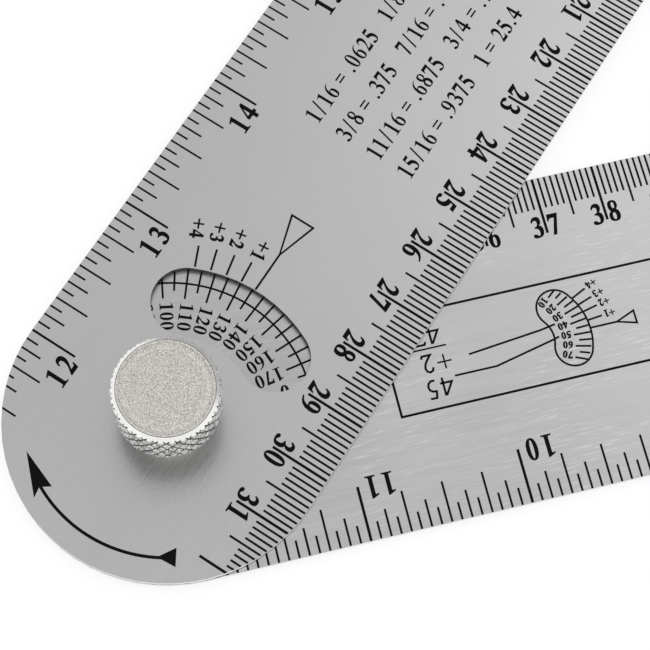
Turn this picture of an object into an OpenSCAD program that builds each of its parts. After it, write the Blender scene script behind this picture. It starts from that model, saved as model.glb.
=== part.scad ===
// Angle finder with two ruled arms that turn on one bolt and are locked by a thumb nut.
// The pivot axis is Z, the back arm lies along +X, and the bolt's head rests on z = 0.

/* [Arms] */
// Reach of each arm, from the pivot axis to its far end
arm_reach = 304.8; // [200:0.1:420]
// Width of each arm
arm_w = 51; // [42:0.1:70]
// Thickness of each blade
blade_t = 1; // [0.8:0.1:2]
// Radius of the two corners at an arm's far end
corner_r = 3; // [1:0.5:8]
// Angle between the two arms as they are drawn
open_angle = 43.3; // [0:0.1:180]

/* [Hang holes] */
// Diameter of the hang hole near each far end
hang_d = 6.5; // [4:0.1:12]
// Distance from the hang hole's centre to the far end
hang_inset = 12; // [8:0.5:30]

/* [Dial window] */
// Width of the rim that is left outside the window
rim_w = 1.15; // [1:0.05:3]
// Width of the curved window
window_w = 11.2; // [6:0.1:14]
// Angle between the centres of the window's two round ends
window_sweep = 52; // [20:1:90]

/* [Pivot bolt] */
// Diameter of the bolt's shank
bolt_d = 6; // [4.8:0.1:8]
// Pitch of the bolt's thread
pitch = 1; // [0.75:0.05:1.25]
// Diameter of the bolt's low round head
head_d = 13; // [11.4:0.1:18]
// Height of the bolt's head
head_h = 1.2; // [0.8:0.1:2]
// How far the bolt's head is chamfered
head_chamfer = 0.35; // [0.1:0.05:0.6]
// How far the square neck stays below the back arm's upper face
neck_relief = 0.1; // [0.05:0.05:0.3]

/* [Washers] */
// Diameter of the washer between the arms
spacer_d = 16; // [14:0.5:17]
// Thickness of the washer between the arms
spacer_t = 0.3; // [0.2:0.05:1]
// Diameter of the washer under the knob
washer_d = 12; // [11:0.1:15]
// Thickness of the washer under the knob
washer_t = 0.5; // [0.3:0.05:1]

/* [Knob] */
// Diameter of the knurled head
knob_d = 16.3; // [13:0.1:24]
// Height of the whole knob, collar and head
knob_h = 15.9; // [12:0.1:20]
// Height of the knurled head, with its chamfers
knurl_h = 9.4; // [6:0.1:12]
// Diameter of the collar under the head
collar_d = 11; // [10:0.1:12.5]
// How far in the head's upper chamfer reaches
top_chamfer_w = 0.8; // [0.3:0.05:1.5]
// How far down the head's upper chamfer reaches
top_chamfer_h = 1; // [0.3:0.05:1.5]
// Size of the head's lower chamfer
low_chamfer = 0.5; // [0.2:0.05:1]
// Size of the small chamfer on the collar's foot
foot_chamfer = 0.25; // [0.1:0.05:0.5]
// Thickness left between the point of the knob's drilled bore and its flat top
top_wall = 1.6; // [1:0.1:4]

/* [Clearances] */
// Radial gap of the front arm and of the knob on the bolt
run_gap = 0.05; // [0.02:0.01:0.1]
// Radial gap of the two washers on the bolt
washer_gap = 0.1; // [0.05:0.05:0.3]
// Gap on each side of the square neck in the back arm
neck_gap = 0.05; // [0.02:0.01:0.15]
// Free depth in the knob past the bolt's end
tip_gap = 0.7; // [0.3:0.1:1.2]

/* [Hidden] */
$fn = 128;
bore_d = bolt_d + 2 * run_gap;
window_r = arm_w / 2 - rim_w - window_w / 2;
// Heights of the stack's joints, from the resting surface up
back_z = head_h;
spacer_z = back_z + blade_t;
front_z = spacer_z + spacer_t;
washer_z = front_z + blade_t;
knob_z = washer_z + washer_t;
// How far a cutting solid runs past the face that it cuts
past = 1;
// Depth of the knob's drilled point, and how far the bolt reaches in when the knob is tight
drill_point = bore_d / 2 * tan(30);
bolt_in_knob = knob_h - top_wall - drill_point - tip_gap;
// ISO depth of an outside thread, as a share of its pitch
thread_depth = 0.613 * pitch;
thread_r = bolt_d / 2;
thread_turns = floor((bolt_in_knob - pitch) / pitch);

// The outline that both blades share: a round end about the pivot and a square far end
module blade_outline() {
    circle(r = arm_w / 2);
    translate([0, -arm_w / 2]) square([arm_reach - corner_r, arm_w]);
    translate([0, corner_r - arm_w / 2]) square([arm_reach, arm_w - 2 * corner_r]);
    for (side = [-1, 1])
        translate([arm_reach - corner_r, side * (arm_w / 2 - corner_r)]) circle(r = corner_r);
}

// A blade with its hang hole, lying on z = 0 along +X
module blade() {
    difference() {
        linear_extrude(blade_t) blade_outline();
        translate([arm_reach - hang_inset, 0, -past]) cylinder(d = hang_d, h = blade_t + 2 * past);
    }
}

// The curved slot that lets the dial below be read, centred on the arm's axis
module window_cutter() {
    depth = blade_t + 2 * past;
    rotate([0, 0, -window_sweep / 2])
        rotate_extrude(angle = window_sweep)
            translate([window_r - window_w / 2, -past]) square([window_w, depth]);
    for (side = [-1, 1])
        rotate([0, 0, side * window_sweep / 2])
            translate([window_r, 0, -past]) cylinder(d = window_w, h = depth);
}

// A flat ring that stands on z = 0
module ring(outer_d, inner_d, height) {
    difference() {
        cylinder(d = outer_d, h = height);
        translate([0, 0, -past]) cylinder(d = inner_d, h = height + 2 * past);
    }
}

// The lower blade, with a square hole that keeps the bolt from turning
module back_arm() {
    hole = bolt_d + 2 * neck_gap;
    color([0.70, 0.70, 0.69])
        translate([0, 0, back_z])
            difference() {
                blade();
                translate([-hole / 2, -hole / 2, -past]) cube([hole, hole, blade_t + 2 * past]);
            }
}

// The upper blade, turned on the bolt by the angle between the arms
module front_arm() {
    color([0.72, 0.72, 0.72])
        translate([0, 0, front_z])
            rotate([0, 0, open_angle])
                difference() {
                    blade();
                    window_cutter();
                    translate([0, 0, -past]) cylinder(d = bore_d, h = blade_t + 2 * past);
                }
}

// Half the section of the bolt: its head, its plain shank and the thread as rings at the pitch
function thread_points(base_z) = [
    for (turn = [0 : thread_turns - 1], step = [0, 1])
        step == 0
            ? [thread_r, base_z + turn * pitch]
            : [thread_r - thread_depth, base_z + (turn + 0.5) * pitch]
];

module pivot_bolt() {
    tip_z = knob_z + bolt_in_knob;
    thread_end = knob_z + thread_turns * pitch;
    section = concat(
        [
            [0, 0],
            [head_d / 2 - head_chamfer, 0],
            [head_d / 2, head_chamfer],
            [head_d / 2, head_h],
            [thread_r, head_h]
        ],
        thread_points(knob_z),
        [
            [thread_r, thread_end],
            [thread_r - thread_depth, tip_z],
            [0, tip_z]
        ]
    );
    color([0.62, 0.62, 0.63]) {
        rotate_extrude() polygon(section);
        translate([-bolt_d / 2, -bolt_d / 2, head_h])
            cube([bolt_d, bolt_d, blade_t - neck_relief]);
    }
}

// The thin washer that keeps the blades from rubbing on each other
module spacer_washer() {
    color([0.88, 0.87, 0.83])
        translate([0, 0, spacer_z]) ring(spacer_d, bolt_d + 2 * washer_gap, spacer_t);
}

// The washer that the knob presses on the upper blade
module knob_washer() {
    color([0.75, 0.75, 0.76])
        translate([0, 0, washer_z]) ring(washer_d, bolt_d + 2 * washer_gap, washer_t);
}

// The thumb nut: a collar below, a chamfered head above and a blind bore for the bolt
module knob() {
    under = knob_h - knurl_h;
    bore_end = bolt_in_knob + tip_gap;
    color([0.80, 0.79, 0.77])
        translate([0, 0, knob_z])
            rotate_extrude()
                polygon([
                    [bore_d / 2, 0],
                    [collar_d / 2 - foot_chamfer, 0],
                    [collar_d / 2, foot_chamfer],
                    [collar_d / 2, under],
                    [knob_d / 2 - low_chamfer, under],
                    [knob_d / 2, under + low_chamfer],
                    [knob_d / 2, knob_h - top_chamfer_h],
                    [knob_d / 2 - top_chamfer_w, knob_h],
                    [0, knob_h],
                    [0, bore_end + drill_point],
                    [bore_d / 2, bore_end]
                ]);
}

back_arm();
front_arm();
pivot_bolt();
spacer_washer();
knob_washer();
knob();
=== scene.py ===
"""Looks for the angle finder with arms: materials, the knurled knob and the printed marks, on the CAD model.

Marks are laid out in millimetres in the frame of the arm that carries them: u runs from the pivot along the
arm, and v to its left.
"""

import math

import bpy
from mathutils import Matrix, Vector
from mathutils.geometry import tessellate_polygon


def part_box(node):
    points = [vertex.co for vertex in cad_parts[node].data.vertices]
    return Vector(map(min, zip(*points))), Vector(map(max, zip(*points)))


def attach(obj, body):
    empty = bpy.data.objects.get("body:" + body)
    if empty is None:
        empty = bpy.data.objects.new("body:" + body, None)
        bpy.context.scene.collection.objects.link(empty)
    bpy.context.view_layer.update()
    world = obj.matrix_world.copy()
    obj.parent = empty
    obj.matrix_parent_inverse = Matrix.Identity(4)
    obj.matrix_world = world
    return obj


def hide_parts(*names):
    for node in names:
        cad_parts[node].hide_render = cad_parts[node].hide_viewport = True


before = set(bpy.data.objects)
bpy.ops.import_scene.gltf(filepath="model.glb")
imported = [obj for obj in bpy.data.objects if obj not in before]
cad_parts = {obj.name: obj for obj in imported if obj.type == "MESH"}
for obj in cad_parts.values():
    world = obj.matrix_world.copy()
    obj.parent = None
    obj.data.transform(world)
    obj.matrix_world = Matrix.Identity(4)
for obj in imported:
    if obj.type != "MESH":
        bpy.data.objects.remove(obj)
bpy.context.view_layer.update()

MM = 0.001
INCH = 25.4
# The arms as in the CAD, in degrees and millimetres
OPEN_ANGLE = 43.3
ARM_REACH = 304.8
ARM_HALF = 25.5
ARM_CORNER = 3.0
# The ink, in millimetres
INK_RISE = 0.010  # how far it stands proud of the steel
INK_ROOT = 0.015  # how far it is let into the steel
OVER = 0.001  # how much higher a line is where it crosses others, so that no two tops lie in one plane

# ---------------------------------------------------------------- numerals
# Outlines of condensed bold serif numerals on a height of 100. A third item marks a curve's control point.
BEND = True
CURVE_STEPS = 4
SQUARENESS = 0.9  # the power that fills out an oval's corners


def oval(cx, cy, rx, ry, count=16):
    """A slightly squared ellipse, anticlockwise."""
    loop = []
    for k in range(count):
        c, s = math.cos(2 * math.pi * k / count), math.sin(2 * math.pi * k / count)
        x, y = math.copysign(abs(c) ** SQUARENESS, c), math.copysign(abs(s) ** SQUARENESS, s)
        loop.append((cx + rx * x, cy + ry * y))
    return loop


def outline(points):
    """The loop through points, with each control point turned into a short run of a quadratic curve."""
    loop = []
    for k, p in enumerate(points):
        if len(p) == 2:
            loop.append(p)
            continue
        a, b = points[k - 1], points[(k + 1) % len(points)]
        for step in range(1, CURVE_STEPS):
            t = step / CURVE_STEPS
            loop.append(tuple((1 - t) ** 2 * a[i] + 2 * t * (1 - t) * p[i] + t * t * b[i] for i in (0, 1)))
    return loop


SIX = [
    [(49, 101), (4, 92, BEND), (1, 40), (1, -1, BEND), (25.5, -1), (50, -1, BEND), (50, 31), (50, 61, BEND),
     (31, 61), (18.5, 57), (23, 88, BEND), (49, 97)],
    oval(26, 29.5, 9, 24.5),
]
GLYPHS = {
    "0": [oval(25, 50, 25, 51), oval(25, 50, 9.5, 45)],
    "1": [[(3, 0), (47, 0), (47, 3.5), (38, 5), (34, 7, BEND), (34, 14), (34, 101), (30, 101), (3, 88),
           (3, 84), (10, 86), (18, 88, BEND), (18, 78), (18, 14), (18, 7, BEND), (14, 5), (3, 3.5)]],
    "2": [[(2, 71), (6, 101, BEND), (26, 101), (47, 101, BEND), (47, 75), (47, 58, BEND), (33, 39),
           (18, 17), (36, 17), (44, 17, BEND), (47, 29), (51, 29), (46, 0), (0, 0), (0, 3.5), (21, 33),
           (31, 50, BEND), (31, 66), (31, 84, BEND), (19.5, 84), (10, 84, BEND), (5.5, 70)]],
    "3": [[(3, 78), (8, 101, BEND), (26, 101), (46, 101, BEND), (46, 80), (46, 65, BEND), (34, 58),
           (51, 51, BEND), (51, 31), (51, -1, BEND), (18, -1), (0, -1, BEND), (0, 9.5), (0, 17, BEND),
           (8, 17), (14, 17, BEND), (19, 11), (23, 7, BEND), (27, 7), (35, 8, BEND), (35, 25),
           (35, 46, BEND), (15, 47), (15, 50.5), (31, 54, BEND), (31, 70), (31, 86, BEND), (19, 86),
           (11, 86, BEND), (6.5, 76)]],
    "4": [[(33, 101), (45, 101), (45, 37), (57, 37), (57, 23), (45, 23), (45, 0), (29, 0), (29, 23),
           (0, 23), (0, 34)], [(29, 79), (29, 37), (8, 37)]],
    "5": [[(14, 100), (45, 100), (49, 104), (43, 83), (17, 83), (13, 70), (49, 67, BEND), (49, 35),
           (49, -1, BEND), (17, -1), (0, -1, BEND), (0, 9), (0, 16.5, BEND), (8, 16.5), (13, 16.5, BEND),
           (18, 11), (22, 7, BEND), (26, 7), (34, 8, BEND), (34, 24), (34, 48, BEND), (4, 51)]],
    "6": SIX,
    "7": [[(3, 100), (50, 100), (50, 96), (26, -1), (12, -1), (35, 82), (16, 82), (9, 82, BEND), (4, 69),
           (0, 69)]],
    "8": [[(25, 101), (47, 101, BEND), (47, 78), (47, 65, BEND), (36, 57), (51, 47, BEND), (51, 27),
           (51, -1, BEND), (25, -1), (0, -1, BEND), (0, 24), (0, 41, BEND), (14, 49), (4, 58, BEND),
           (4, 76), (4, 101, BEND)],
          oval(27, 77, 9, 17, 12), oval(24, 24, 10, 19, 12)],
    "9": [[(50 - p[0], 100 - p[1]) + p[2:] for p in loop] for loop in SIX],
    "+": [[(22, 22), (30, 22), (30, 46), (54, 46), (54, 54), (30, 54), (30, 78), (22, 78), (22, 54),
           (-2, 54), (-2, 46), (22, 46)]],
    "/": [[(4, -4), (14, -4), (42, 104), (32, 104)]],
    ".": [oval(12, 8, 9, 9, 10)],
    "=": [[(0, 32), (52, 32), (52, 42), (0, 42)], [(0, 58), (52, 58), (52, 68), (0, 68)]],
}
WIDTH = {"1": 50, "4": 57, "/": 46, ".": 24, "+": 52, "=": 52}
NUMERAL_WIDTH = 51  # of all the others

# The least cosine that a corner's offset is divided by, so that sharp corners stay short
GLYPH_MITRE = 0.5
LINE_MITRE = 0.35
TINY = 1e-9


def area(loop):
    return sum(a[0] * b[1] - b[0] * a[1] for a, b in zip(loop, loop[1:] + loop[:1])) / 2


def grown(loop, amount):
    """The loop, which runs anticlockwise, with its sides moved outwards by amount."""
    made = []
    for k, p in enumerate(loop):
        a, b = loop[k - 1], loop[(k + 1) % len(loop)]
        d1, d2 = Vector((p[0] - a[0], p[1] - a[1])), Vector((b[0] - p[0], b[1] - p[1]))
        if d1.length < TINY or d2.length < TINY:
            continue
        n1, n2 = Vector((-d1.y, d1.x)).normalized(), Vector((-d2.y, d2.x)).normalized()
        n = (n1 + n2).normalized()
        cosine = max(n.dot(n1), GLYPH_MITRE)
        made.append((p[0] - n.x * amount / cosine, p[1] - n.y * amount / cosine))
    return made


# ---------------------------------------------------------------- flat marks
def new_object(name, data):
    """An object in the scene, round its data."""
    made = bpy.data.objects.new(name, data)
    bpy.context.scene.collection.objects.link(made)
    return made


def mesh_object(name, verts, faces):
    mesh = bpy.data.meshes.new(name)
    mesh.from_pydata(verts, [], faces)
    mesh.update()
    return new_object(name, mesh)


class Marks:
    """Flat inked shapes on one arm's upper face, each a closed thin solid."""

    def __init__(self, name, body, arm, angle):
        self.name, self.body, self.top = name, body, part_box(arm)[1].z
        self.turn = Matrix.Rotation(math.radians(angle), 2)
        self.verts, self.faces = [], []

    def add(self, outer, holes=(), lift=0.0):
        """A shape from its outline and its holes, all in arm millimetres."""
        loops = [list(outer)] + [list(h) for h in holes]
        for k, loop in enumerate(loops):
            if (area(loop) > 0) != (k == 0):
                loop.reverse()
        flat = [p for loop in loops for p in loop]
        start, count = len(self.verts), len(flat)
        low, high = self.top - INK_ROOT * MM, self.top + (INK_RISE + lift) * MM
        for z in (low, high):
            for p in flat:
                q = self.turn @ Vector((p[0] * MM, p[1] * MM))
                self.verts.append((q.x, q.y, z))
        if len(loops) == 1 and count == 4:
            triangles = [(0, 1, 2, 3)]
        else:
            triangles = tessellate_polygon([[Vector((x, y, 0)) for x, y in loop] for loop in loops])
        for t in triangles:
            if area([flat[i] for i in t]) < 0:
                t = tuple(reversed(t))
            self.faces.append([start + count + i for i in t])
            self.faces.append([start + i for i in reversed(t)])
        first = start
        for loop in loops:
            for k in range(len(loop)):
                a, b = first + k, first + (k + 1) % len(loop)
                self.faces.append([a, b, b + count, a + count])
            first += len(loop)

    def line(self, points, width, closed=False, lift=0.0):
        """A line of the given width along points, with mitred corners."""
        left, right = [], []
        count = len(points)
        for k, p in enumerate(points):
            before = points[k - 1] if k or closed else None
            after = points[(k + 1) % count] if k < count - 1 or closed else None
            normals = []
            for a, b in ((before, p), (p, after)):
                if a is not None and b is not None:
                    d = Vector((b[0] - a[0], b[1] - a[1])).normalized()
                    normals.append(Vector((-d.y, d.x)))
            n = sum(normals, Vector((0, 0))).normalized()
            n *= width / 2 / max(n.dot(normals[0]), LINE_MITRE)
            left.append((p[0] + n.x, p[1] + n.y))
            right.append((p[0] - n.x, p[1] - n.y))
        if not closed:
            self.add(right + left[::-1], lift=lift)
        elif abs(area(left)) > abs(area(right)):
            self.add(left, [right], lift=lift)
        else:
            self.add(right, [left], lift=lift)

    def ray(self, inner, outer, degrees, width, centre=(0.0, 0.0)):
        """A line away from centre, from one distance to another."""
        self.line([polar(inner, degrees, centre), polar(outer, degrees, centre)], width)

    def glyph(self, sign, centre, along, height, stretch=1.0, weight=0.0):
        """One numeral, centred, read towards the angle along in degrees. weight is added all round it."""
        scale = height / 100
        half = WIDTH.get(sign, NUMERAL_WIDTH) / 2
        c, s = math.cos(math.radians(along)), math.sin(math.radians(along))
        loops = []
        for k, points in enumerate(GLYPHS[sign]):
            loop = outline(points)
            if area(loop) < 0:
                loop.reverse()
            loop = [((x - half) * scale * stretch, (y - 50) * scale) for x, y in loop]
            if weight:
                loop = grown(loop, weight if k == 0 else -weight)
            loops.append([(centre[0] + x * c - y * s, centre[1] + x * s + y * c) for x, y in loop])
        if sign == "=":
            # Its second loop is another bar and no hole
            for loop in loops:
                self.add(loop)
        else:
            self.add(loops[0], loops[1:])

    def number(self, text, first, along, step):
        """A scale's number, its numerals at equal steps and the first one centred on first."""
        c, s = math.cos(math.radians(along)), math.sin(math.radians(along))
        for k, sign in enumerate(text):
            centre = (first[0] + k * step * c, first[1] + k * step * s)
            self.glyph(sign, centre, along, NUMERAL, weight=NUMERAL_WEIGHT)

    def row(self, text, start, height, gap, space):
        """A row of numerals set by their own widths, reading along +u on the base line start."""
        u = start[0]
        for sign in text:
            if sign == " ":
                u += space
                continue
            width = WIDTH.get(sign, NUMERAL_WIDTH) * height / 100
            self.glyph(sign, (u + width / 2, start[1] + height / 2), 0, height)
            u += width + gap

    def finish(self, material):
        """Makes one object of all the shapes, which rides on the arm's body."""
        made = mesh_object(self.name, self.verts, self.faces)
        made.data.materials.append(material)
        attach(made, self.body)


def polar(radius, degrees, centre=(0.0, 0.0)):
    a = math.radians(degrees)
    return (centre[0] + radius * math.cos(a), centre[1] + radius * math.sin(a))


def arc(radius, start, end, centre=(0.0, 0.0), step=2.0):
    count = max(2, int(abs(end - start) / step))
    return [polar(radius, start + (end - start) * k / count, centre) for k in range(count + 1)]


# ---------------------------------------------------------------- scales
PIVOT_READING = 12  # the inch that both scales read at the pivot
EDGE_MARGIN = 0.03  # how far the ticks stay from the blade's edge
END_MARGIN = 0.1  # how far they stay from its far end
SHORTEST_TICK = 0.2
INCH_PARTS = 16
# The kinds of tick, longest first: (at every so many parts, where it starts from the arm's centre line)
INCH_TICKS = ((INCH_PARTS, 17.46), (4, 19.60), (2, 21.72), (1, 23.29))
CM_TICKS = ((10, 15.70), (5, 17.77), (1, 19.92))
BACK_INCH_SHIFT, BACK_CM_SHIFT = -0.56, 0.40  # what is added to the inner ends on the back arm
# Widths of the lines: an inch's or a centimetre's own, and the others
FRONT_INCH_LINES, BACK_INCH_LINES, CM_LINES = (0.38, 0.32), (0.45, 0.35), (0.44, 0.35)
NUMERAL = 3.45
NUMERAL_WEIGHT = 0.06
INCH_STEP, CM_STEP = 2.6, 2.8  # from one numeral of a number to the next
FRONT_INCH_FOOT, BACK_INCH_FOOT = 1.75, 2.18  # from an inch's line to the centre of its number's last numeral
# Where the numbers stand, from the arm's centre line
FRONT_INCH_BASE, BACK_INCH_BASE = 16.2, 15.7
FRONT_CM_BASE, BACK_CM_BASE = 15.16, 15.62


def edge_at(u):
    """How far the blade's edge is from its centre line at u, with the round end and the far corners."""
    inner = ARM_HALF - EDGE_MARGIN
    if u < 0:
        return math.sqrt(max(inner * inner - u * u, 0.0))
    into_corner = max(0.0, u - (ARM_REACH - ARM_CORNER))
    return inner - ARM_CORNER + math.sqrt(max(ARM_CORNER**2 - into_corner**2, 0.0))


def tick(marks, u, side, count, ends, shift, lines):
    """A tick out to the arm's edge at u on that side (+1 is left), as long and thick as its count asks."""
    inner = next(end for every, end in ends if count % every == 0) + shift
    width = lines[0] if count % ends[0][0] == 0 else lines[1]
    left, right = u - width / 2, u + width / 2
    if u > ARM_REACH - END_MARGIN or min(edge_at(left), edge_at(right)) < inner + SHORTEST_TICK:
        return
    corners = ((left, inner), (right, inner), (right, edge_at(right)), (left, edge_at(left)))
    marks.add([(x, side * y) for x, y in corners])


def inch_scale(ticks, numbers, side, start, end, shift, foot, base, lines):
    """Sixteenths of an inch along one edge. start and end are readings, which grow towards +u on the left."""
    direction = 1 if end > start else -1
    for k in range(round(abs(end - start) * INCH_PARTS) + 1):
        reading = start + direction * k / INCH_PARTS
        u = side * (reading - PIVOT_READING) * INCH
        tick(ticks, u, side, round(reading * INCH_PARTS), INCH_TICKS, shift, lines)
        if reading % 1 == 0 and 0 < reading < 2 * PIVOT_READING:
            text = str(round(reading))
            last = u - side * foot
            first = (last - side * INCH_STEP * (len(text) - 1), side * (base + NUMERAL / 2))
            numbers.number(text, first, 90 - 90 * side, INCH_STEP)


def cm_scale(ticks, numbers, side, first_mm, last_mm, place_of, shift, base, numbered):
    """Millimetres along one edge. place_of gives u for a reading, and numbered is a range in centimetres."""
    for mm in range(first_mm, last_mm + 1):
        u = place_of(mm)
        tick(ticks, u, side, mm, CM_TICKS, shift, CM_LINES)
        if mm % 10 == 0 and mm // 10 in numbered:
            # A number's two numerals stand on both sides of its line, and a single one before it
            first = (u - side * CM_STEP / 2, side * (base + NUMERAL / 2))
            numbers.number(str(mm // 10), first, 90 - 90 * side, CM_STEP)


# ---------------------------------------------------------------- dial, pointer, arrow, diagram and table
DIAL_LINE = 0.33
DIAL_TURN = 0.45  # how many degrees the printed dial stands off the arm's axis
DIAL_ARC, DIAL_OUT = 22.12, 24.6  # the radii of its arc and of its ticks' outer ends
DIAL_TEN_IN, DIAL_FIVE_IN = 19.58, 20.80  # the radii of its ticks' inner ends
DIAL_NUMERAL, DIAL_STRETCH, DIAL_WEIGHT = 2.1, 1.2, 0.025
DIAL_NUMERAL_RADII = (18.18, 16.62, 15.06)  # of a number's numerals, first to last
DIAL_LAG = 1.5  # how many degrees a number stands past its tick
DIAL_LAG_FROM, DIAL_LAG_LOSS = 110, 0.02  # past this reading the lag shrinks by so much a degree
DIAL_ZERO = (18.3, 0.2)

POINTER_LINE = 0.34
POINTER_V = 0.34  # its offset from the arm's centre line
POINTER_APEX, POINTER_FAR, POINTER_HALF = 31.34, 38.04, 1.99
WINDOW_RIM = 24.42  # the radius from which its line and the vernier's lines run outwards
VERNIER_CENTRE, VERNIER_STEP = (0, 0.36), 6.0
VERNIER_IN, VERNIER_OUT = WINDOW_RIM + 0.05, 28.05
VERNIER_LABELS = ((6.0, 29.5), (13.4, 29.95), (19.7, 30.05), (25.9, 30.1))  # each one's angle and radius
LABEL, LABEL_STRETCH, LABEL_WEIGHT = 2.2, 1.1, 0.05
LABEL_PLUS, LABEL_PLUS_WEIGHT = 3.0, 0.03
PLUS_OUT, PLUS_TURN = 1.75, -0.2  # where a label's plus sign stands from it, in millimetres and degrees

FRAME_LINE, LEADER_LINE, DRAWN_LINE, SUM_LINE, PLUS_LINE = 0.39, 0.33, 0.32, 0.36, 0.27
SUM_HEIGHT = 2.98
# The diagram's small dial
HUB = (54.47, -0.75)
SMALL_TEN_IN, SMALL_FIVE_IN, SMALL_OUT = 10.02, 10.65, 12.75
SMALL_MIDDLE, SMALL_DRAW = 4, 0.0009  # the outer ends draw in with the square of the degrees off the middle
SMALL_ZERO, SMALL_DEGREE = 49.65, 1.0465  # the angle of its zero, and what it turns for a degree
SMALL_NUMERAL, SMALL_NUMERAL_RADII, SMALL_LAG, SMALL_WEIGHT = 1.08, (9.25, 8.4), 1.2, 0.06
SMALL_VERNIER = (6.0, 12.9, 18.9, 25.2)  # the angles of its lines
SMALL_VERNIER_IN, SMALL_VERNIER_STEP, SMALL_VERNIER_OUT = 12.85, 0.1, 15.3
# Height, radius and turn off its line, of a label and of its plus sign
SMALL_LABEL, SMALL_PLUS, SMALL_PLUS_WEIGHT = (1.15, 16.1, 0.3), (1.6, 17.0, -0.1), 0.035

TABLE_START, TABLE_BASES = 53.6, (7.3, 1.5, -4.3, -10.15)
TABLE_HEIGHT, TABLE_GAP, TABLE_SPACE = 2.9, 0.32, 0.95
TABLE = (
    "1/16 = .0625   1/8 = .125   3/16 = .1875   1/4 = .250   5/16 = .3125",
    "3/8 = .375   7/16 = .4375   1/2 = .500   9/16 = .5625   5/8 = .625",
    "11/16 = .6875   3/4 = .750   13/16 = .8125   7/8 = .875",
    "15/16 = .9375   1 = 25.4   2 = 50.8   3 = 76.2   4 = 101.6",
)

# The light numerals of the diagram's sum, as lines on a height of 1
LIGHT = {
    "4": [[(0.46, 0.98), (0.03, 0.30), (0.66, 0.30)], [(0.50, 1.0), (0.50, 0.0)]],
    "5": [[(0.50, 0.97), (0.16, 0.97), (0.09, 0.62), (0.28, 0.60), (0.42, 0.50), (0.47, 0.33), (0.41, 0.14),
           (0.26, 0.03), (0.06, 0.03)]],
    "2": [[(0.04, 0.74), (0.10, 0.90), (0.25, 0.98), (0.41, 0.90), (0.47, 0.72), (0.40, 0.48), (0.22, 0.24),
           (0.05, 0.05), (0.50, 0.05), (0.57, 0.20)]],
    "7": [[(0.03, 0.80), (0.09, 0.95), (0.54, 0.95), (0.24, 0.0)]],
}


def dial_angle(reading):
    return 180 - reading + DIAL_TURN


def draw_dial(marks):
    """The degree dial round the back arm's pivot, read through the window of the front arm."""
    marks.line(arc(DIAL_ARC, dial_angle(5), dial_angle(175)), DIAL_LINE, lift=OVER)
    for reading in (5, 175):
        marks.ray(DIAL_FIVE_IN, DIAL_ARC, dial_angle(reading), DIAL_LINE)
    for reading in range(10, 171, 5):
        inner = DIAL_FIVE_IN if reading % 10 else DIAL_TEN_IN
        marks.ray(inner, DIAL_OUT, dial_angle(reading), DIAL_LINE)
    for reading in range(10, 171, 10):
        angle = dial_angle(reading + DIAL_LAG - DIAL_LAG_LOSS * max(0, reading - DIAL_LAG_FROM))
        for sign, radius in zip(str(reading), DIAL_NUMERAL_RADII):
            marks.glyph(sign, polar(radius, angle), angle + 180, DIAL_NUMERAL, DIAL_STRETCH, DIAL_WEIGHT)
    marks.glyph("0", DIAL_ZERO, 0, DIAL_NUMERAL, DIAL_STRETCH, LABEL_WEIGHT)


def draw_pointer(marks):
    """The pointer over the window and its four vernier lines with their labels."""
    apex = (POINTER_APEX, POINTER_V)
    marks.line([(WINDOW_RIM, POINTER_V), apex], POINTER_LINE)
    ends = [(POINTER_FAR, POINTER_V + half) for half in (POINTER_HALF, -POINTER_HALF)]
    marks.line([apex, *ends], POINTER_LINE, closed=True, lift=OVER)
    for k, (angle, radius) in enumerate(VERNIER_LABELS, 1):
        marks.ray(VERNIER_IN, VERNIER_OUT, VERNIER_STEP * k, POINTER_LINE, VERNIER_CENTRE)
        marks.glyph(str(k), polar(radius, angle), angle + 180, LABEL, LABEL_STRETCH, LABEL_WEIGHT)
        plus = polar(radius + PLUS_OUT, angle + PLUS_TURN)
        marks.glyph("+", plus, angle + 180, LABEL_PLUS, weight=LABEL_PLUS_WEIGHT)


def draw_arrow(marks):
    """The curved arrow round the front arm's round end."""
    radius, width, centre = 22.21, 0.5, (0.42, 0.41)
    marks.line(arc(radius, 154.0, 211.5, centre), width, lift=OVER)
    tip, outer_barb, notch, inner_barb = (-16.22, 15.08), (-21.50, 9.93), (-19.69, 10.24), (-18.58, 8.70)
    marks.add([tip, outer_barb, notch, inner_barb])
    marks.add([(-18.86, -10.5), (-18.58, -13.68), (-16.06, -12.17)])


def draw_sum(marks):
    """The diagram's sum, read from the other side."""
    signs = (("4", 43.9, -3.17), ("5", 41.4, -3.27), ("2", 41.75, 0.95), ("4", 43.9, 5.4), ("7", 41.5, 5.4))
    for sign, u, v in signs:
        for points in LIGHT[sign]:
            marks.line([(u - x * SUM_HEIGHT, v - y * SUM_HEIGHT) for x, y in points], SUM_LINE, lift=OVER)
    plus_u, plus_v, half_u, half_v = 43.55, -0.72, 1.15, 1.2
    marks.line([(plus_u - half_u, plus_v), (plus_u + half_u, plus_v)], PLUS_LINE)
    marks.line([(plus_u, plus_v - half_v), (plus_u, plus_v + half_v)], PLUS_LINE, lift=OVER)
    marks.line([(39.18, 1.87), (44.5, 1.87)], PLUS_LINE)


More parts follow.
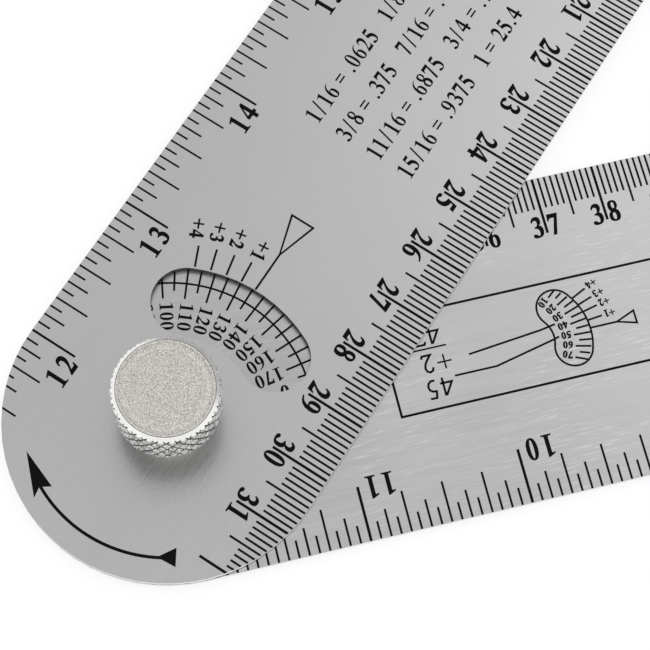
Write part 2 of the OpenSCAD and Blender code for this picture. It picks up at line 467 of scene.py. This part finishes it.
def draw_diagram(marks):
    """The framed drawing on the back arm that shows how the dial and the vernier are read together."""
    marks.line([(34.8, -7.9), (84.8, -7.9), (84.8, 8.1), (34.8, 8.1)], FRAME_LINE, closed=True)
    marks.line([(47.57, -0.5), (59.63, 0.73), (62.05, 1.16)], LEADER_LINE, lift=2 * OVER)
    lower_leader = [(44.52, -3.34), (51.33, -3.35), (61.15, -1.23), (62.13, -0.95)]
    marks.line(lower_leader, LEADER_LINE, lift=2 * OVER)
    draw_sum(marks)
    # The window's outline
    centre, radius, half, low, high = (57.16, -0.71), 7.19, 2.98, -20.2, 38.0
    rim = arc(radius + half, low, high, centre, 6)
    rim += arc(half, high, high + 180, polar(radius, high, centre), 12)[1:]
    rim += arc(radius - half, high, low, centre, 8)[1:]
    rim += arc(half, low + 180, low + 360, polar(radius, low, centre), 12)[1:-1]
    marks.line(rim, DRAWN_LINE, closed=True, lift=OVER)
    # The small dial
    for reading in range(10, 71, 5):
        angle = SMALL_ZERO - SMALL_DEGREE * reading
        inner = SMALL_FIVE_IN if reading % 10 else SMALL_TEN_IN
        outer = SMALL_OUT - SMALL_DRAW * (angle - SMALL_MIDDLE) ** 2
        marks.ray(inner, outer, angle, DRAWN_LINE, HUB)
        if reading % 10 == 0:
            angle += SMALL_LAG
            for sign, radius in zip(str(reading), SMALL_NUMERAL_RADII):
                place = polar(radius, angle, HUB)
                marks.glyph(sign, place, angle + 180, SMALL_NUMERAL, DIAL_STRETCH, SMALL_WEIGHT)
    # The vernier lines with their labels, and the pointer
    for k, angle in enumerate(SMALL_VERNIER):
        marks.ray(SMALL_VERNIER_IN - SMALL_VERNIER_STEP * k, SMALL_VERNIER_OUT, angle, DRAWN_LINE, HUB)
        height, radius, turn = SMALL_LABEL
        place = polar(radius, angle + turn, HUB)
        marks.glyph(str(k + 1), place, angle + 180, height, LABEL_STRETCH, LABEL_WEIGHT)
        height, radius, turn = SMALL_PLUS
        marks.glyph("+", polar(radius, angle + turn, HUB), angle + 180, height, weight=SMALL_PLUS_WEIGHT)
    apex = (71.68, -0.7)
    marks.line([(67.45, -0.71), apex], DRAWN_LINE)
    marks.line([apex, (74.76, 0.5), (74.76, -1.57)], DRAWN_LINE, closed=True, lift=OVER)


def draw_table(marks):
    """Rows of plain numbers on the front arm: fractions of an inch and their decimals."""
    for text, base in zip(TABLE, TABLE_BASES):
        marks.row(text, (TABLE_START, base), TABLE_HEIGHT, TABLE_GAP, TABLE_SPACE)


# ---------------------------------------------------------------- materials
STEEL = (0.42, 0.42, 0.42)
STEEL_ROUGHNESS, TURNED_ROUGHNESS, MATTE_ROUGHNESS = 0.27, 0.32, 0.55
NOISE_LOW, NOISE_HIGH = 0.3, 0.7  # most of a noise's values lie between these
# The brushed steel's noises: how often they change in a metre along the arm, across it and upwards
FINE_STREAKS, BROAD_STREAKS, CLOUDS = (90, 5200, 90), (26, 900, 26), (38, 60, 38)
SCRATCHES, SCRATCHED_PATCHES = (320, 6500, 320), (45, 90, 45)
FINE_SHARE, STREAK_SHARE = 0.6, 0.65  # of the fine streaks in all streaks, and of those in the whole
SCRATCH_TURN = 2  # degrees off the streaks
SCRATCH_RANGE, PATCH_RANGE = (0.64, 0.80), (0.42, 0.66)  # the noise values over which they come up
SCRATCH_SHINE = 1.6  # times as bright as the steel
RING_SHADE_RADIUS, RING_SHADE_FADE = 22.5, 3  # the painted shade round the pivot, under the front arm's window, and how wide its edge is
WINDOW_OUTER = 24.6  # just past the window's outer wall
WALL_EDGE = 0.03  # how far the walls' own look stays from the blade's faces
# Painted highlight on the cut walls outside the window, and painted shade on those in it, times the steel's
# colour
WALL_HIGHLIGHT, WALL_SHADE = 2.0, 0.16
WALL_ROUGHNESS = 0.3  # what is added on the walls
RINGS_A_METRE = 5200  # of a turning tool's marks
SAND_FROM, SAND_TO = 3.5, 6.5  # the radii between which the share of grain changes
# Depths under the knob's smooth outline: where the painted shade in the grooves comes in, and where the
# crests' look ends
GROOVE_SHADE_FROM, GROOVE_SHADE_TO = 0.13, 0.27
CREST_FROM, CREST_TO = 0.01, 0.05
RIM_SHADE_FROM, RIM_SHADE_TO = 0.10, 0.06  # how far inside the flat top's edge its line of painted shade comes up
TOP_EDGE = 0.06  # how far under the flat top the chamfer's look is whole
WEAR_AND_GLINTS = (1100, 1100, 700)  # the uneven plating that breaks up the painted highlight: how often it changes in a metre, round and along the knob
SIDE_PAST = 0.1  # how far the knurled side's look goes on past the chamfer's foot
KNOB_GRAIN, BOLT_GRAIN, INK_GRAIN, NYLON_GRAIN = 7600, 6000, 2500, 3000


def shade(color, factor):
    """The colour, factor times as bright."""
    return tuple(c * factor for c in color)


class Tree:
    """The nodes of a material or a world, with short ways to add to them."""

    def __init__(self, owner):
        owner.use_nodes = True
        self.nodes, self.links = owner.node_tree.nodes, owner.node_tree.links

    def fill(self, socket, value):
        """Links the socket to another socket, or sets it to a number, a vector or a colour without alpha."""
        if isinstance(value, bpy.types.NodeSocket):
            self.links.new(value, socket)
        else:
            socket.default_value = (*value, 1) if socket.type == "RGBA" else value

    def node(self, kind, inputs=(), **settings):
        """A new node with these settings. inputs: its values by socket name or number"""
        made = self.nodes.new(kind)
        for key, value in settings.items():
            setattr(made, key, value)
        for key, value in dict(inputs).items():
            self.fill(made.inputs[key], value)
        return made

    def math(self, operation, *values):
        return self.node("ShaderNodeMath", enumerate(values), operation=operation).outputs[0]

    def times(self, first, *others):
        for other in others:
            first = self.math("MULTIPLY", first, other)
        return first

    def plus(self, first, *others):
        for other in others:
            first = self.math("ADD", first, other)
        return first


class Shader(Tree):
    """A new material, with ways to vary what its Principled shader gets."""

    def __init__(self, name, color, roughness, metallic=0.0, specular=0.5):
        self.material = bpy.data.materials.new(name)
        super().__init__(self.material)
        self.surface = self.nodes["Principled BSDF"].inputs
        self.fill(self.surface["Metallic"], metallic)
        self.fill(self.surface["Specular IOR Level"], specular)
        self.look(color, roughness)
        self.place = self.node("ShaderNodeTexCoord").outputs["Object"]

    def look(self, color, roughness):
        self.fill(self.surface["Base Color"], color)
        self.fill(self.surface["Roughness"], roughness)

    def between(self, value, low, high):
        """1 where the value lies between the two, and 0 elsewhere."""
        return self.times(self.math("LESS_THAN", value, high), self.math("GREATER_THAN", value, low))

    def map(self, value, from_min, from_max, to_min, to_max):
        """The value moved from one range to another and held inside it."""
        limits = {"From Min": from_min, "From Max": from_max, "To Min": to_min, "To Max": to_max}
        return self.node("ShaderNodeMapRange", {"Value": value, **limits}).outputs[0]

    def mix(self, share, a, b, blend_type="MIX"):
        """Two colours, mixed from a to b by share."""
        inputs = {0: share, 6: a, 7: b}
        return self.node("ShaderNodeMix", inputs, data_type="RGBA", blend_type=blend_type).outputs[2]

    def ramp(self, value, stops):
        """The colour for a value. stops: (value, colour)"""
        made = self.node("ShaderNodeValToRGB", {"Fac": value})
        elements = made.color_ramp.elements
        while len(elements) > 1:
            elements.remove(elements[-1])
        for k, (position, color) in enumerate(stops):
            element = elements[0] if k == 0 else elements.new(position)
            element.position = position
            element.color = (*color, 1)
        return made.outputs[0]

    def varied(self, value, color, spread, reach):
        """The colour, darker to lighter by spread as the value runs from 0.5 - reach to 0.5 + reach."""
        darker, lighter = shade(color, 1 - spread), shade(color, 1 + spread)
        return self.ramp(value, [(0.5 - reach, darker), (0.5, color), (0.5 + reach, lighter)])

    def noise(self, scale, turn=0.0, detail=3.0, roughness=0.55):
        """Noise over the object's metres, turned about Z and then stretched by scale."""
        turned = self.node("ShaderNodeVectorRotate", {"Vector": self.place, "Angle": -math.radians(turn)},
                           rotation_type="Z_AXIS").outputs[0]
        stretched = self.node("ShaderNodeVectorMath", {0: turned, 1: scale}, operation="MULTIPLY").outputs[0]
        look = {"Vector": stretched, "Scale": 1.0, "Detail": detail, "Roughness": roughness}
        return self.node("ShaderNodeTexNoise", look).outputs["Fac"]

    def about_axis(self):
        """The distance from the Z axis and the height, in metres."""
        x, y, height = self.node("ShaderNodeSeparateXYZ", {"Vector": self.place}).outputs
        return self.math("SQRT", self.plus(self.times(x, x), self.times(y, y))), height

    def bump(self, height, strength, distance):
        made = self.node("ShaderNodeBump", {"Height": height, "Strength": strength, "Distance": distance})
        self.fill(self.surface["Normal"], made.outputs[0])


def brushed_steel(name, turn, streak, scratches, ring_shade, walls):
    """Cold-rolled steel brushed along the arm: fine and broad streaks, faint clouds and patches of scratches.

    streak and scratches say how strong these are, the ring shade how bright the painted shade round the pivot
    is, and walls names the CAD node whose cut walls get a painted highlight outside the window and painted
    shade inside it."""
    steel = Shader(name, STEEL, STEEL_ROUGHNESS, metallic=1.0)
    radius, height = steel.about_axis()
    fine = steel.noise(FINE_STREAKS, turn, detail=4)
    broad = steel.noise(BROAD_STREAKS, turn)
    cloud = steel.noise(CLOUDS, turn, detail=2)
    nicks = steel.map(steel.noise(SCRATCHES, turn + SCRATCH_TURN, detail=0), *SCRATCH_RANGE, 0, 1)
    patches = steel.map(steel.noise(SCRATCHED_PATCHES, turn, detail=1), *PATCH_RANGE, 0.1, 1)
    streaks = steel.plus(steel.times(fine, FINE_SHARE), steel.times(broad, 1 - FINE_SHARE))
    mixed = steel.plus(steel.times(streaks, STREAK_SHARE), steel.times(cloud, 1 - STREAK_SHARE))
    brushed = steel.varied(mixed, STEEL, streak, reach=0.2)
    scratched = steel.mix(steel.times(nicks, patches, scratches), brushed, shade(STEEL, SCRATCH_SHINE))
    # Painted shade in a ring round the pivot, where the front arm's window shades the back arm
    shaded_ring = steel.map(radius, RING_SHADE_RADIUS * MM, (RING_SHADE_RADIUS + RING_SHADE_FADE) * MM, ring_shade, 1.0)
    face = steel.mix(1.0, scratched, shaded_ring, "MULTIPLY")
    # The cut walls get a painted highlight outside, and painted shade in the window
    low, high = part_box(walls)
    on_wall = steel.between(height, low.z + WALL_EDGE * MM, high.z - WALL_EDGE * MM)
    shaded_in_window = steel.math("LESS_THAN", radius, WINDOW_OUTER * MM)
    painted_wall = steel.mix(shaded_in_window, shade(STEEL, WALL_HIGHLIGHT), shade(STEEL, WALL_SHADE))
    rough = steel.map(mixed, NOISE_LOW, NOISE_HIGH, STEEL_ROUGHNESS - 0.05, STEEL_ROUGHNESS + 0.07)
    rough = steel.plus(rough, steel.times(on_wall, WALL_ROUGHNESS))
    steel.look(steel.mix(on_wall, face, painted_wall), rough)
    steel.bump(fine, strength=0.03 + 1.2 * streak, distance=0.02 * MM)
    return steel.material


class TurnedMetal(Shader):
    """Turned metal with faint rings and a fine grain.

    sand_shares says how much of its relief is grain and not rings, near the axis and near the rim."""

    def __init__(self, name, color, grain, sand_shares, spread):
        super().__init__(name, color, TURNED_ROUGHNESS, metallic=1.0)
        self.radius, self.height = self.about_axis()
        sand = self.noise((grain, grain, grain), roughness=0.7)
        across = [self.times(value, RINGS_A_METRE) for value in (self.radius, self.height)]
        across = self.node("ShaderNodeCombineXYZ", enumerate(across)).outputs[0]
        look = {"Vector": across, "Scale": 1.0, "Detail": 2.0}
        self.rings = self.node("ShaderNodeTexNoise", look).outputs["Fac"]
        share = self.map(self.radius, SAND_FROM * MM, SAND_TO * MM, *sand_shares)
        relief = self.node("ShaderNodeMix", {0: share, 2: self.rings, 3: sand}, data_type="FLOAT").outputs[0]
        self.color = self.varied(relief, color, spread, reach=0.12)
        self.rough = self.map(relief, NOISE_LOW, NOISE_HIGH, TURNED_ROUGHNESS - 0.06, TURNED_ROUGHNESS + 0.08)
        self.look(self.color, self.rough)
        self.bump(relief, strength=0.35, distance=0.03 * MM)


def knurled_metal(name, face_color, highlight_color, crest_color, groove_shade_color):
    """The plated knob: a sandy flat top, a painted highlight on the chamfer and the knurl's flanks, plain
    flats on the crests, and painted shade in the grooves and along the top's edge.
    """
    metal = TurnedMetal(name, face_color, KNOB_GRAIN, sand_shares=(0.98, 0.86), spread=0.60)
    radius, height = metal.radius, metal.height
    top, rim = knob_span()[1], KNOB_R - TOP_CHAMFER_W
    chamfer_from, under = (top - TOP_CHAMFER_H) * MM, (top - KNURL_H + NEAR) * MM
    in_knurl = metal.between(height, under, (top - NEAR) * MM)
    on_side = metal.times(in_knurl, metal.math("LESS_THAN", height, chamfer_from + SIDE_PAST * MM))
    # How deep a point lies under the knob's smooth outline
    smooth = metal.map(height, chamfer_from, top * MM, KNOB_R * MM, rim * MM)
    depth = metal.math("SUBTRACT", smooth, radius)
    # Painted shade in the knurl's grooves, near black
    groove_shade = metal.times(metal.map(depth, GROOVE_SHADE_FROM * MM, GROOVE_SHADE_TO * MM, 0, 1), in_knurl)
    flat = metal.times(metal.map(depth, CREST_FROM * MM, CREST_TO * MM, 1, 0), on_side)
    off_top = metal.map(height, (top - TOP_EDGE) * MM, (top - NEAR) * MM, 1, 0)
    # A fine line of painted shade where the flat top meets its chamfer
    rim_shade = metal.map(radius, (rim - RIM_SHADE_FROM) * MM, (rim - RIM_SHADE_TO) * MM, 1.0, 0.4)
    face = metal.mix(1.0, metal.color, rim_shade, "MULTIPLY")
    # The chamfer, the knurl's flanks and all below them get a painted highlight, which uneven plating breaks
    # up from one diamond to the next and in which the chamfer and the collar show rings
    wear_and_glints = metal.times(metal.noise(WEAR_AND_GLINTS, detail=2), on_side)
    turning = metal.map(metal.rings, 0.35, 0.65, 0.475, 0.52)
    turning = metal.times(metal.math("SUBTRACT", 1.0, on_side), turning)
    painted_shine = metal.ramp(metal.plus(wear_and_glints, turning), [(0.40, shade(highlight_color, 0.45)), (0.52, highlight_color)])
    color = metal.mix(off_top, face, painted_shine)
    color = metal.mix(flat, color, crest_color)
    color = metal.mix(groove_shade, color, groove_shade_color)
    # The chamfer and the crests are shinier than the top, and the flanks, grooves and underside are duller
    below = metal.math("LESS_THAN", height, under)
    flank = metal.math("SUBTRACT", on_side, flat)
    polish = metal.times(metal.math("SUBTRACT", off_top, below), -0.14)
    dull = metal.times(metal.math("MAXIMUM", flank, below), 0.42)
    metal.look(color, metal.plus(metal.rough, polish, dull))
    return metal.material


def speckled(name, color, grain, spread, specular=0.5):
    """A matte material whose colour and roughness vary a little with a fine grain."""
    matte = Shader(name, color, MATTE_ROUGHNESS, specular=specular)
    noise = matte.noise((grain, grain, grain))
    rough = matte.map(noise, NOISE_LOW, NOISE_HIGH, MATTE_ROUGHNESS - 0.08, MATTE_ROUGHNESS + 0.08)
    matte.look(matte.varied(noise, color, spread, reach=0.15), rough)
    matte.bump(noise, strength=0.15, distance=0.01 * MM)
    return matte.material


# ---------------------------------------------------------------- knurled knob
KNOB_R = 8.15
KNURL_COUNT, KNURL_ROW = 30, 3.2  # diamonds round the knob, and the height of one
KNURL_DEPTH = 0.36
KNURL_CREST = 0.35  # how far the full crests would stand past the turned outside, which leaves them flats
KNURL_H = 9.4
COLLAR_R = 5.5
FOOT_CHAMFER, LOW_CHAMFER = 0.25, 0.5
TOP_CHAMFER_W, TOP_CHAMFER_H = 0.8, 1.0
BORE_R = 3.05
DRILL_POINT = 30  # degrees from its flat to its cone
TOP_WALL = 1.6
SEGMENTS = 180
LATHE_TURN = 0.31  # turns the lathe's corners off the knurl's, which the cut needs
SHARP_ANGLE = 18  # degrees between faces past which their edge is drawn sharp
# The plug that cuts the knurl: how far it goes on past the head, and how much wider it is there
PLUG_BELOW, PLUG_ABOVE, PLUG_CLEAR = 12, 0.4, 0.8
NEAR = 0.02  # what keeps the cut, and the knurl's own look, clear of the faces above and below


def lathe(name, profile):
    """A closed solid turned about Z from a profile of (radius, z) that starts and ends on the axis."""
    verts, rings = [], []
    for r, z in profile:
        if r < TINY:
            rings.append([len(verts)])
            verts.append((0, 0, z * MM))
        else:
            rings.append(list(range(len(verts), len(verts) + SEGMENTS)))
            for k in range(SEGMENTS):
                verts.append((*polar(r * MM, 360 * (k + LATHE_TURN) / SEGMENTS), z * MM))
    faces = []
    for low, high in zip(rings, rings[1:]):
        for k in range(SEGMENTS):
            j = (k + 1) % SEGMENTS
            quad = [low[k % len(low)], low[j % len(low)], high[j % len(high)], high[k % len(high)]]
            face = list(dict.fromkeys(quad))
            if len(face) > 2:
                faces.append(face)
    return mesh_object(name, verts, faces)


def knurl_cutter(name, low, high):
    """A tall plug whose side is a diamond knurl above low: pyramids on a lattice of crossed grooves."""
    count = 2 * KNURL_COUNT
    rows = math.ceil((high - low) / (KNURL_ROW / 2))
    crest, root, clear = KNOB_R + KNURL_CREST, KNOB_R - KNURL_DEPTH, KNOB_R + PLUG_CLEAR
    levels = [(low - PLUG_BELOW, clear, clear), (low - NEAR, clear, clear)]
    for j in range(rows + 1):
        levels.append((low + j * KNURL_ROW / 2, *((crest, root) if j % 2 else (root, crest))))
    verts = []
    for z, even, odd in levels:
        for k in range(count):
            verts.append((*polar((odd if k % 2 else even) * MM, 360 * k / count), z * MM))
    rings = [range(n * count, (n + 1) * count) for n in range(len(levels))]
    bottom, top = len(verts), len(verts) + 1
    verts += [(0, 0, levels[0][0] * MM), (0, 0, levels[-1][0] * MM)]
    faces = []
    for k in range(count):
        j = (k + 1) % count
        faces.append([rings[0][j], rings[0][k], bottom])
        faces.append([rings[-1][k], rings[-1][j], top])
        faces.append([rings[0][k], rings[0][j], rings[1][j], rings[1][k]])
        for n in range(1, len(rings) - 1):
            a, b, c, d = rings[n][k], rings[n][j], rings[n + 1][j], rings[n + 1][k]
            # The side shared by two pyramids joins two roots, so each quad is split between its root corners
            first_is_root = n >= 2 and (k + n) % 2 == 0
            faces += [[a, b, c], [a, c, d]] if first_is_root else [[a, b, d], [b, c, d]]
    return mesh_object(name, verts, faces)


def knob_span():
    """The heights of the knob's foot and of its flat top, in millimetres."""
    low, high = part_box("knob")
    return low.z / MM, high.z / MM


def dress(mesh, material):
    mesh.materials.clear()
    mesh.materials.append(material)


def build_knob(material):
    """The thumb nut: the CAD's own section, with the diamond knurl cut into its head."""
    base, top = knob_span()
    under = top - KNURL_H
    drill = BORE_R * math.tan(math.radians(DRILL_POINT))
    profile = [
        (0, top - TOP_WALL),
        (BORE_R, top - TOP_WALL - drill),
        (BORE_R, base),
        (COLLAR_R - FOOT_CHAMFER, base),
        (COLLAR_R, base + FOOT_CHAMFER),
        (COLLAR_R, under),
        (KNOB_R - LOW_CHAMFER, under),
        (KNOB_R, under + LOW_CHAMFER),
        (KNOB_R, top - TOP_CHAMFER_H),
        (KNOB_R - TOP_CHAMFER_W, top),
        (0, top),
    ]
    knob = lathe("knob_knurled", profile)
    plug = knurl_cutter("knurl_plug", under, top + PLUG_ABOVE)
    cut = knob.modifiers.new("knurl", "BOOLEAN")
    cut.operation, cut.solver, cut.object = "INTERSECT", "EXACT", plug
    bpy.context.view_layer.update()
    evaluated = knob.evaluated_get(bpy.context.evaluated_depsgraph_get())
    mesh = bpy.data.meshes.new_from_object(evaluated)
    knob.modifiers.clear()
    knob.data = mesh
    bpy.data.objects.remove(plug)
    mesh.shade_smooth()
    mesh.set_sharp_from_angle(angle=math.radians(SHARP_ANGLE))
    dress(mesh, material)
    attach(knob, "knob")
    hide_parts("knob")


# ---------------------------------------------------------------- build the object
back_ticks, back_numbers, back_dial, back_diagram = back_marks = [
    Marks("back_arm_" + kind, "base", "back_arm", 0) for kind in ("ticks", "numbers", "dial", "diagram")
]
front_ticks, front_numbers, front_pointer, front_arrow, front_table = front_marks = [
    Marks("front_arm_" + kind, "front_arm", "front_arm", OPEN_ANGLE)
    for kind in ("ticks", "numbers", "pointer", "arrow", "number_table")
]
# Inches on the front arm's left and the back arm's right edge, centimetres on the other two
inch_scale(front_ticks, front_numbers, side=1, start=11.5, end=24, shift=0.0,
           foot=FRONT_INCH_FOOT, base=FRONT_INCH_BASE, lines=FRONT_INCH_LINES)
inch_scale(back_ticks, back_numbers, side=-1, start=12.5, end=0, shift=BACK_INCH_SHIFT,
           foot=BACK_INCH_FOOT, base=BACK_INCH_BASE, lines=BACK_INCH_LINES)
cm_scale(front_ticks, front_numbers, side=-1, first_mm=0, last_mm=320, place_of=lambda mm: ARM_REACH - mm,
         shift=0.0, base=FRONT_CM_BASE, numbered=range(1, 32))
cm_scale(back_ticks, back_numbers, side=1, first_mm=330, last_mm=609, place_of=lambda mm: mm - ARM_REACH,
         shift=BACK_CM_SHIFT, base=BACK_CM_BASE, numbered=range(33, 61))
draw_dial(back_dial)
draw_diagram(back_diagram)
draw_pointer(front_pointer)
draw_arrow(front_arrow)
draw_table(front_table)
ink = speckled("mark_ink", (0.0025, 0.0025, 0.0026), INK_GRAIN, spread=0.3, specular=0.05)
for marks in back_marks + front_marks:
    marks.finish(ink)

build_knob(knurled_metal("knob_nickel", face_color=(0.50, 0.48, 0.45), highlight_color=(0.97, 0.97, 0.95),
                         crest_color=(0.5, 0.5, 0.49), groove_shade_color=(0.012, 0.012, 0.011)))
bolt = TurnedMetal("bolt_steel", (0.6, 0.6, 0.61), BOLT_GRAIN, sand_shares=(0.4, 0.4), spread=0.08)
node_materials = {
    "back_arm": brushed_steel("back_steel", turn=0, streak=0.10, scratches=0.6, ring_shade=0.93,
                              walls="back_arm"),
    "front_arm": brushed_steel("front_steel", turn=OPEN_ANGLE, streak=0.015, scratches=0.06, ring_shade=1.0,
                               walls="front_arm"),
    "pivot_bolt": bolt.material,
    "knob_washer": bolt.material,
    "spacer_washer": speckled("spacer_nylon", (0.78, 0.77, 0.72), NYLON_GRAIN, spread=0.05),
}
for name, material in node_materials.items():
    dress(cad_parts[name].data, material)

# ---------------------------------------------------------------- floor, light and camera
WHITE = (1.0, 1.0, 1.0)
FLOOR_HALF = 3.0
FLOOR_COLOR = (0.95, 0.95, 0.95)
FLOOR_DROP = 0.0001  # how far the floor stays under the part
FLOOR_GLOW = 0.78  # the share of plain white in what is seen of it, and the rest is lit


def white_floor():
    """A pale floor that shows white to the camera and to reflections, and keeps part of the shadow."""
    corners = [(x * FLOOR_HALF, y * FLOOR_HALF, 0) for x, y in ((-1, -1), (1, -1), (1, 1), (-1, 1))]
    floor = mesh_object("floor", corners, [(0, 1, 2, 3)])
    floor.location.z = -FLOOR_DROP
    material = bpy.data.materials.new("floor_white")
    tree = Tree(material)
    tree.nodes.remove(tree.nodes["Principled BSDF"])
    matte = tree.node("ShaderNodeBsdfDiffuse", {"Color": FLOOR_COLOR})
    glow = tree.node("ShaderNodeEmission", {"Color": WHITE})
    path = tree.node("ShaderNodeLightPath").outputs
    seen = tree.math("MAXIMUM", path["Is Camera Ray"], path["Is Glossy Ray"])
    seen = tree.math("MAXIMUM", seen, path["Is Transmission Ray"])
    inputs = {0: tree.times(seen, FLOOR_GLOW), 1: matte.outputs[0], 2: glow.outputs[0]}
    mix = tree.node("ShaderNodeMixShader", inputs)
    tree.fill(tree.nodes["Material Output"].inputs["Surface"], mix.outputs[0])
    floor.data.materials.append(material)


def white_world():
    """White where it is seen or mirrored, and the same white light on the part from every side."""
    world = bpy.data.worlds.new("studio")
    bpy.context.scene.world = world
    tree = Tree(world)
    background = tree.nodes["Background"].inputs
    tree.fill(background["Color"], WHITE)
    tree.fill(background["Strength"], 1.0)


def softbox(name, location, target, size, radiance):
    """A rectangular lamp that is radiance times as bright as the white world where it is seen."""
    data = bpy.data.lights.new(name, "AREA")
    data.shape, data.size, data.size_y = "RECTANGLE", size[0], size[1]
    data.energy = radiance * math.pi * size[0] * size[1]
    lamp = new_object(name, data)
    lamp.location = location
    lamp.rotation_euler = (Vector(target) - Vector(location)).to_track_quat("-Z", "Y").to_euler()


# The camera as fitted to the scale marks
PHOTO_SIDE = 650
FOCAL_PIXELS = 1883.0
AXIS_PIXEL = (303.0, 320.0)  # where the camera's own axis meets the photograph
CAMERA_PLACE = (-7.11, -74.47, 281.89)  # millimetres
CAMERA_RIGHT = (0.97029, -0.23957, 0.03392)
CAMERA_UP = (0.21803, 0.92649, 0.30672)


def photo_camera():
    data = bpy.data.cameras.new("camera")
    data.sensor_width = 36
    data.lens = FOCAL_PIXELS / PHOTO_SIDE * data.sensor_width
    data.shift_x = (PHOTO_SIDE / 2 - AXIS_PIXEL[0]) / PHOTO_SIDE
    data.shift_y = (AXIS_PIXEL[1] - PHOTO_SIDE / 2) / PHOTO_SIDE
    data.clip_start, data.clip_end = 0.01, 20
    camera = new_object("camera", data)
    right, up = Vector(CAMERA_RIGHT).normalized(), Vector(CAMERA_UP).normalized()
    turn = Matrix((right, up, right.cross(up))).transposed()
    camera.matrix_world = Matrix.Translation(Vector(CAMERA_PLACE) * MM) @ turn.to_4x4()
    bpy.context.scene.camera = camera


white_floor()
white_world()
softbox("lamp_right", (0.58, 0.42, 1.0), (0.1, 0.05, 0), (0.6, 0.6), 0.5)
softbox("lamp_front", (0.05, -0.40, 1.0), (0, 0, 0), (0.8, 0.5), 1.6)
softbox("lamp_low_right", (0.61, -0.51, 0.22), (0, 0, 0.01), (0.45, 0.4), 0.2)
softbox("lamp_low_left", (-0.69, -0.40, 0.22), (0, 0, 0.01), (0.45, 0.4), 0.2)
photo_camera()
bpy.context.scene.view_settings.view_transform = "Standard"
